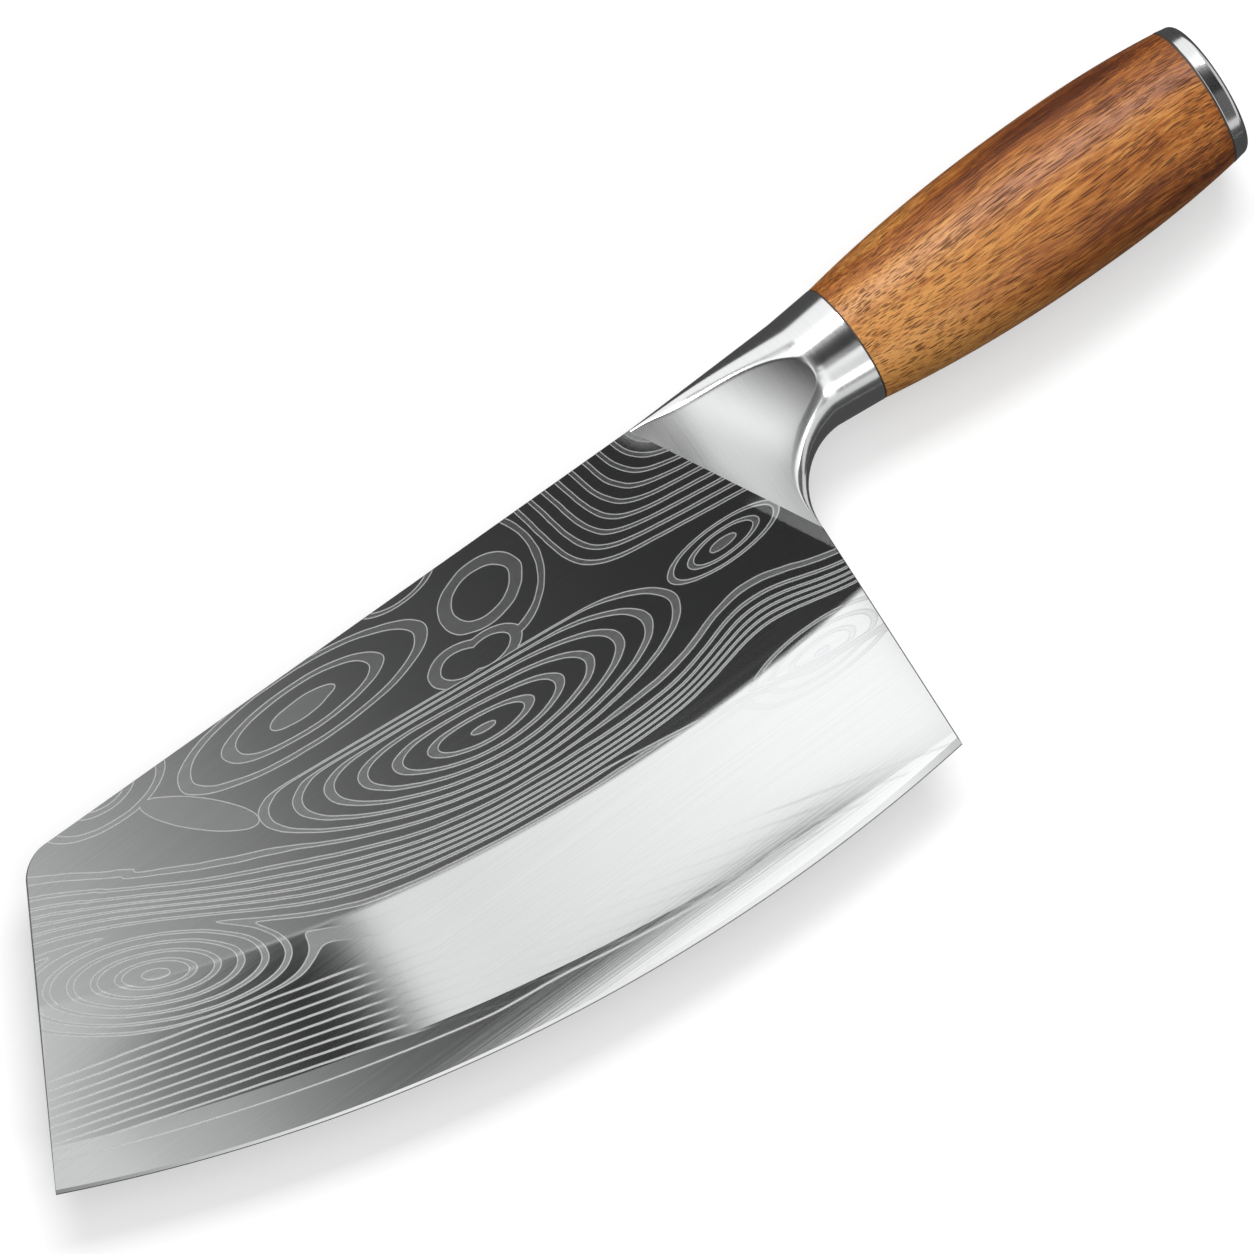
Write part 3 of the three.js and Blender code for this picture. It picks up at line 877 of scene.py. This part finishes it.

# %% [markdown]
# A mirror and a frosted line of the same steel differ in little but roughness, so nearly all of the look is
# put there. The bitten lines could also be sunk with a bump, but a bump works its height out at three places
# and would triple the map's nodes. The fine brushing along the blade is all that goes into it. The rims of
# the bitten lines and the line where bevel meets band are also a little lighter in colour: a painted
# highlight for the light their edges catch.

# %% Etched blade steel
dull = 0.05 + 0.04 * grain + 0.13 * strip + 0.2 * smear + 0.12 * blended
rough = dull + kept * (0.10 * bitten + 0.24 * rim) + 0.28 * band_line_rough_glint
# painted highlight: rims and the bevel-to-band line get a little lighter colour for the light their edges
# catch; bitten bands are a little darker
tone = 0.62 + 0.1 * grain + kept * (0.06 * rim - 0.02 * bitten) + 0.06 * band_line_rough_glint
tint = where.node("ShaderNodeCombineColor", {}, {0: tone * 0.985, 1: tone * 0.995, 2: tone})
feed(shader, Base_Color=tint, Metallic=1.0, Roughness=rough, Normal=bump(0.5 * brushing, 0.0015))
print("etched steel:", len(blade_steel.node_tree.nodes), "nodes")

# %% [markdown]
# Bolster and cap are the same polished steel without a pattern, brushed across the knife by a fine belt.
# Anisotropic gloss could stand for the brushing, but then no single line would show. Here it is a noise that
# is squeezed along X, so its lines run round the collar and down the hollow.

# %% Polished steel
def polished_steel(name, tone, slant, depth):
    material, where, shader = finish(name)
    belt = noise(placed(where, (3.4, 0.045, 0.045), (0, 0, math.radians(slant))), detail=4, roughness=0.65)
    haze = noise(placed(where, (0.12, 0.12, 0.12)), detail=2)
    grain = belt - 0.5
    level = tone + 0.10 * grain
    tint = where.node("ShaderNodeCombineColor", {}, {0: level * 0.99, 1: level * 0.995, 2: level})
    rough = 0.13 + 0.1 * grain + 0.05 * haze
    feed(shader, Base_Color=tint, Metallic=1.0, Roughness=rough, Normal=bump(belt, depth))
    return material


bolster_steel = polished_steel("polished_bolster_steel", 0.67, -6, 0.0014)
cap_steel = polished_steel("polished_cap_steel", 0.64, 0, 0.0006)
print("polished steel:", len(bolster_steel.node_tree.nodes), "nodes each")

# %% [markdown]
# The wood is an orange-brown hardwood, golden near the bolster, where the lighter tone is in part a painted
# highlight. A picture of wood would have to be wrapped round the barrel, while noise in space runs through
# it as grain does. The colour comes from noises drawn out along the grain: broad streaks and fine fibres.
# Two dark bands along top and bottom are painted shade, where the oval handle turns away from the light.

# %% Wood grain
handle_wood, where, shader = finish("lacquered_hardwood")
x, y = axes(where)[:2]
sway = noise(placed(where, (0.016, 0.05, 0.05)), detail=1) - 0.5
drift = where.node("ShaderNodeCombineXYZ", {}, {1: 9 * sway, 2: 2 * sway})
grain_place = where.node("ShaderNodeVectorMath", {"operation": "ADD"}, {0: where, 1: drift})
streak = noise(placed(grain_place, (0.014, 0.19, 0.19)), detail=3, roughness=0.6)
fibre = noise(placed(grain_place, (0.10, 1.7, 1.7)), detail=4, roughness=0.7)


def shade_band(centre, width, climb=0.0):
    """Painted shade: a dark band at this height on the handle, which climbs towards the butt."""
    return bell((y + 4 * sway - centre - climb * x) / width)


# painted shade: the handle is darker along its top, and towards the butt along its bottom, where the oval
# turns away from the lamps
painted_edge_shade = shade_band(10.8, 2.6, 0.065) + 0.5 * shade_band(-13, 4) * rise(x, 15, 55)
# lighter and more golden towards the bolster: in part the wood's tone, in part a painted highlight for the
# sheen there
golden_tone_and_sheen = rise(x + 60 * streak, 95, 30)
mixture = 0.5 * streak + 0.6 * fibre - 0.05 + 0.14 * golden_tone_and_sheen - 0.17 * painted_edge_shade
timber = where.node("ShaderNodeValToRGB", {"stops": [
    (0.30, (0.080, 0.018, 0.004)),
    (0.42, (0.200, 0.054, 0.009)),
    (0.52, (0.360, 0.118, 0.020)),
    (0.66, (0.600, 0.270, 0.066)),
]}, {0: mixture})


print("wood grain:", len(handle_wood.node_tree.nodes), "nodes")

# %% [markdown]
# The wood's open pores are short dark dashes along the grain. They are Voronoi cells, stretched and cut off
# close to their centres, of which some are left out. Voronoi cells never overlap, so the dashes stay apart
# as real pores do. A satin lacquer lies over the wood as a thin coat, thinner in the pores.

# %% Pores and lacquer
CELLS_PER_DASH = 0.76


def pores(length, width, share):
    """Dashes of about this size in millimetres; the share of cells that hold one varies along the wood."""
    along, across = CELLS_PER_DASH / length, CELLS_PER_DASH / width
    cell_place = placed(grain_place, (along, across, across))
    cell = where.node("ShaderNodeTexVoronoi", {}, {"Vector": cell_place, "Scale": 1.0}, out="Distance")
    lot = where.node("ShaderNodeTexVoronoi", {}, {"Vector": cell_place, "Scale": 1.0}, out="Color")
    crowd = 0.6 * lot + 0.4 * noise(placed(grain_place, (0.03, 0.3, 0.3)), detail=2)
    return rise(cell, 0.46, 0.3) * rise(crowd, 0.62 - 0.3 * share, 0.7 - 0.3 * share)


pore = where.math("MAXIMUM", 0.7 * pores(3.4, 0.2, 0.8), pores(5.0, 0.28, 0.6))
colour = mix_colour(0.8 * pore, timber, (0.050, 0.014, 0.005, 1))
feed(shader, Base_Color=colour, Roughness=0.36 + 0.12 * fibre + 0.25 * pore,
     Normal=bump(0.2 * fibre - pore, 0.03), Coat_Weight=0.3 - 0.2 * pore)
feed(shader, Coat_Roughness=0.36, Specular_IOR_Level=0.22)
print("wood:", len(handle_wood.node_tree.nodes), "nodes")

# %% [markdown]
# What is left is the dark glue in the two joints and the hidden hardware inside the handle, which stays as
# the CAD made it: turned steel with fine lathe lines, and amber resin with a faint cloud in it.

# %% Glue, hardware and resin
glue_resin, where, shader = finish("dark_glue")
cloud = noise(placed(where, (1.5, 1.5, 1.5)), detail=3)
feed(shader, Base_Color=mix_colour(cloud, (0.020, 0.014, 0.010, 1), (0.050, 0.034, 0.024, 1)),
     Roughness=0.5 + 0.25 * cloud, Normal=bump(cloud, 0.02))

hardware_steel, where, shader = finish("turned_hardware_steel")
lathe = noise(placed(where, (5.0, 0.1, 0.1)), detail=2)
feed(shader, Base_Color=mix_colour(lathe, (0.44, 0.44, 0.45, 1), (0.62, 0.62, 0.63, 1)), Metallic=1.0,
     Roughness=0.26 + 0.2 * lathe, Normal=bump(lathe, 0.004))

cast_resin, where, shader = finish("amber_resin")
cloud = noise(placed(where, (0.25, 0.5, 0.5)), detail=3)
feed(shader, Base_Color=mix_colour(cloud, (0.52, 0.43, 0.24, 1), (0.64, 0.57, 0.40, 1)),
     Roughness=0.22 + 0.2 * cloud)
print("materials:", len(bpy.data.materials))

# %% [markdown]
# Now each piece gets its finish, rides on the knife's one rigid body, and takes the place of its CAD node.
# The hidden CAD nodes keep their shapes and only get a finish.

# %% Dressing the frame
for piece, node, slot_name, material in [
    (blade, "blade", "blade_steel", blade_steel),
    (bolster, "bolster", "bolster_steel", bolster_steel),
    (handle, "handle", "handle_wood", handle_wood),
    (cap, "end_cap", "cap_steel", cap_steel),
    (front_glue, "front_glue_line", "bonding_layer", glue_resin),
    (rear_glue, "rear_glue_line", "bonding_layer", glue_resin),
]:
    piece.data.materials.clear()
    piece.data.materials.append(material)
    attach(piece, "root")
    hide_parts(node)

for node, material in [
    ("tang_rod", hardware_steel), ("clamp_washer", hardware_steel), ("clamp_nut", hardware_steel),
    ("dowel_upper", hardware_steel), ("dowel_lower", hardware_steel), ("tang_epoxy", cast_resin),
]:
    for material_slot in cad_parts[node].material_slots:
        material_slot.material = material
print("pieces dressed")

# %% [markdown]
# A polished blade has no colour of its own: it shows what hangs around it. So cards hang round the knife, as
# in a photographer's tent, and only shiny surfaces see them. A card is a plane with a glowing material. Area
# lamps would do for plain white ones, but a card can also be dark, and shaded from one side to the other.

# %% Helpers for cards
def sheet(name, low, high, material):
    """A flat stage card between two corners, one of whose sides has no depth."""
    alone()
    sizes = [b - a for a, b in zip(low, high)]
    turn = (0, 0, 0) if sizes[2] == 0 else (math.pi / 2, 0, 0)
    depth = sizes[1] if sizes[2] == 0 else sizes[2]
    middle = [(a + b) / 2 for a, b in zip(low, high)]
    bpy.ops.mesh.primitive_plane_add(size=1, location=middle, rotation=turn)
    bpy.context.active_object.scale = (sizes[0], depth, 1)
    card = named(name)
    card.data.materials.append(material)
    return card


def glow(name):
    """A material that shines without lighting anything else, its place in metres, and its shader."""
    material = bpy.data.materials.new(name)
    material.use_nodes = True
    tree = material.node_tree
    tree.nodes.remove(tree.nodes["Principled BSDF"])
    lamp = tree.nodes.new("ShaderNodeEmission")
    tree.links.new(lamp.outputs[0], tree.nodes["Material Output"].inputs[0])
    material.cycles.emission_sampling = "NONE"
    where = placed(Wire(tree).node("ShaderNodeTexCoord", out="Object"), move=-joint)
    return material, where, lamp


def reflected(name, low, high, material):
    """A card that is seen in reflections only."""
    card = sheet(name, low, high, material)
    card.visible_camera = False
    card.visible_diffuse = False
    card.visible_transmission = False
    card.visible_volume_scatter = False
    card.visible_shadow = False


def across_card(x, *stops):
    """Brightness by place along the card, from stops of (metres, level)."""
    start, end = stops[0][0], stops[-1][0]
    share = (x - start) / (end - start)
    return x.node("ShaderNodeValToRGB", {"stops": [
        ((place - start) / (end - start), (level,) * 3) for place, level in stops
    ]}, {0: share})


card_z = joint.z + 1.0
print("cards hang at", round(card_z, 3))

# %% [markdown]
# The roof of the tent is what the camera sees in the blade. It is dark over the flat, paler towards the toe,
# white over the ground bevel and dark again over the band at the edge. Each part of the blade leans
# differently and so sees its own strip of the roof: the strips follow each other in y, and each is shaded
# along x.

# %% Tent roof
ROOF_FRONT_Y = -0.20

tent, where, lamp = glow("tent_roof")
x, y = axes(where)[:2]
beyond_toe = across_card(x - 1.6 * (y + 0.12), (-1.17, 0.08), (-1.01, 0.24), (-0.876, 0.44), (-0.757, 0.56),
                         (-0.64, 0.81), (-0.53, 1.07), (-0.43, 1.29), (-0.38, 1.39), (-0.296, 1.28),
                         (-0.24, 1.09), (-0.2, 0.95))
over_flat = across_card(x, (-0.148, 1.08), (-0.11, 0.95), (-0.06, 0.67), (-0.018, 0.45), (0.01, 0.32),
                        (0.04, 0.19), (0.07, 0.12), (0.109, 0.075), (0.15, 0.05), (0.2, 0.04))
over_bevel = across_card(x, (-0.148, 1.08), (-0.10, 0.70), (-0.081, 0.52), (-0.062, 0.29), (-0.042, 0.15),
                         (-0.033, 0.10), (-0.023, 0.06), (-0.013, 0.04), (-0.004, 0.06), (0.005, 0.15),
                         (0.012, 0.65), (0.02, 1.2), (0.05, 1.16), (0.08, 1.24), (0.12, 1.36), (0.16, 1.48),
                         (0.24, 1.58))
over_band = across_card(x, (-0.148, 1.08), (-0.108, 0.85), (-0.087, 0.70), (-0.066, 0.58), (-0.046, 0.40),
                        (-0.011, 0.20), (0.03, 0.08), (0.155, 0.05), (0.185, 1.0), (0.2, 1.3))
lower = y + 0.2 * rise(x, 0.214, 0.228)
card_tone = mix_colour(rise(lower, -0.06, -0.085), over_flat, over_bevel)
card_tone = mix_colour(rise(lower, -0.139, -0.145), card_tone, over_band)
card_tone = mix_colour(rise(lower, -0.187, -0.191) * rise(x, -0.05, 0.02), card_tone, (1.7, 1.7, 1.7, 1))
card_tone = mix_colour(rise(x, -0.09, -0.12), card_tone, beyond_toe)
feed(lamp, Color=card_tone)
reflected("tent_roof", (-1.6, ROOF_FRONT_Y, card_z), (1.2, 0.62, card_z), tent)
print("tent roof:", len(tent.node_tree.nodes), "nodes")

# %% [markdown]
# In front of the roof hangs a box for the bolster's hollow and the honed edge, bright over the heel and
# falling off to both sides. Behind the knife stands a bright wall for the bolster's lip and the spine. Views
# from low in front see that wall in the flat of the blade, so its part behind the blade is grey, or the
# blade would turn white there.

# %% Front box and back wall
soft_box, where, lamp = glow("soft_box")
x, y = axes(where)[:2]
over_hollow = across_card(x, (-0.9, 0.1), (-0.5, 0.4), (-0.2, 0.6), (-0.05, 0.75), (0.05, 1.1), (0.1, 1.35),
                          (0.27, 1.4), (0.38, 0.2), (1.5, 0.1))
over_hone = across_card(x, (-0.9, 0.1), (-0.3, 0.3), (-0.22, 0.6), (-0.16, 1.1), (-0.1, 1.3), (0.24, 1.35),
                        (0.34, 0.2), (1.5, 0.1))
feed(lamp, Color=mix_colour(rise(y, -0.38, -0.44), over_hollow, over_hone))
reflected("soft_box_front", (-1.2, -1.6, card_z), (1.5, ROOF_FRONT_Y, card_z), soft_box)

back_light, where, lamp = glow("back_light")
x, _, z = axes(where)
shade = across_card(z, (0, 0.8), (0.2, 0.6), (0.45, 0.42), (0.8, 0.3), (1.2, 0.45), (1.6, 0.6))
behind_blade = rise(x + 0.3 * z, -0.07, -0.02) * rise(x, 0.06, 0.0) * rise(z, 0.56, 0.66)
feed(lamp, Color=mix_colour(behind_blade, (1.3, 1.3, 1.3, 1), shade))
reflected("soft_box_back", (-0.8, 1.0, 0.06), (1.6, 1.0, 1.6), back_light)
for material in (soft_box, back_light):
    print(material.name, len(material.node_tree.nodes), "nodes")

# %% [markdown]
# Dark felt lies round the knife where its steel should show a dark rim: one strip stands in front, and two
# lie on the floor, black under the handle and grey under the blade. Without them every edge that looks down
# would mirror the white floor and be lost against it.

# %% Felts
FELT_Z = 0.0002
FELT_SPLIT_X = 0.03


def felt(name, level):
    material, _, lamp = glow(name)
    feed(lamp, Color=(level, level, level, 1))
    return material


dark_felt = felt("dark_felt", 0.09)
grey_felt = felt("grey_felt", 0.16)
reflected("felt_front", (-1.5, -1.3, 0.02), (1.5, -1.3, 0.42), dark_felt)
reflected("felt_under", (FELT_SPLIT_X, -1.3, FELT_Z), (1.5, 1.3, FELT_Z), dark_felt)
reflected("felt_under_blade", (-1.5, -1.3, FELT_Z), (FELT_SPLIT_X, 1.3, FELT_Z), grey_felt)
print("felts laid at", FELT_Z)

# %% [markdown]
# The floor and the air look almost white to the camera and in reflections, but give back less light than
# that to the knife, so that its sides and underside keep their shade. The floor still takes the knife's
# shadow, because its white is paint first and only a little glow.

# %% Floor and air
def seen(tree):
    """1 for rays that show a surface to the camera, straight or in a mirror, else 0."""
    rays = Wire(tree).node("ShaderNodeLightPath", out="Is Camera Ray")
    path = rays.socket.node.outputs
    rays = rays + Wire(tree, path["Is Glossy Ray"])
    return rays.math("ADD", rays, Wire(tree, path["Is Transmission Ray"]), clamp=True)


floor_paint = bpy.data.materials.new("pale_floor")
floor_paint.use_nodes = True
floor_tone = mix_colour(seen(floor_paint.node_tree), (0.2, 0.2, 0.2, 1), (0.66, 0.66, 0.66, 1))
floor_lift = mix_colour(seen(floor_paint.node_tree), (0, 0, 0, 1), (0.38, 0.38, 0.38, 1))
feed(floor_paint.node_tree.nodes["Principled BSDF"], Base_Color=floor_tone, Roughness=0.9,
     Specular_IOR_Level=0.0, Emission_Color=floor_lift, Emission_Strength=1.0)
floor_paint.cycles.emission_sampling = "NONE"
sheet("floor", (-8, -8, 0), (8, 8, 0), floor_paint)

world = bpy.data.worlds.new("studio_air")
world.use_nodes = True
air_tone = mix_colour(seen(world.node_tree), (0.32, 0.32, 0.32, 1), (0.9, 0.9, 0.9, 1))
feed(world.node_tree.nodes["Background"], Color=air_tone)
bpy.context.scene.world = world
print("floor and air ready")

# %% [markdown]
# Three soft lamps light the wood and cast the shadows: one overhead, a key lamp behind and a weak fill in
# front. The overhead one stays out of reflections, because the tent roof hangs in its place there.

# %% Lamps
LAMP_AIM = Vector((0.08, 0.03, 0))


def soft_lamp(name, place, width, depth, energy, in_mirrors):
    alone()
    bpy.ops.object.light_add(type="AREA", location=place)
    lamp = bpy.context.active_object
    lamp.name = name
    lamp.data.shape = "RECTANGLE"
    lamp.data.size = width
    lamp.data.size_y = depth
    lamp.data.energy = energy
    lamp.rotation_euler = (LAMP_AIM - lamp.location).to_track_quat("-Z", "Y").to_euler()
    lamp.visible_glossy = in_mirrors


soft_lamp("overhead_light", (0, 0.03, 1.8), 1.6, 1.6, 10, False)
soft_lamp("key_light", (0.3, 0.8, 1.08), 1.1, 0.45, 14, True)
soft_lamp("fill_light", (0.1, -0.86, 0.95), 0.6, 0.3, 1.8, True)

bpy.context.scene.view_settings.view_transform = "Standard"
print("lamps ready")
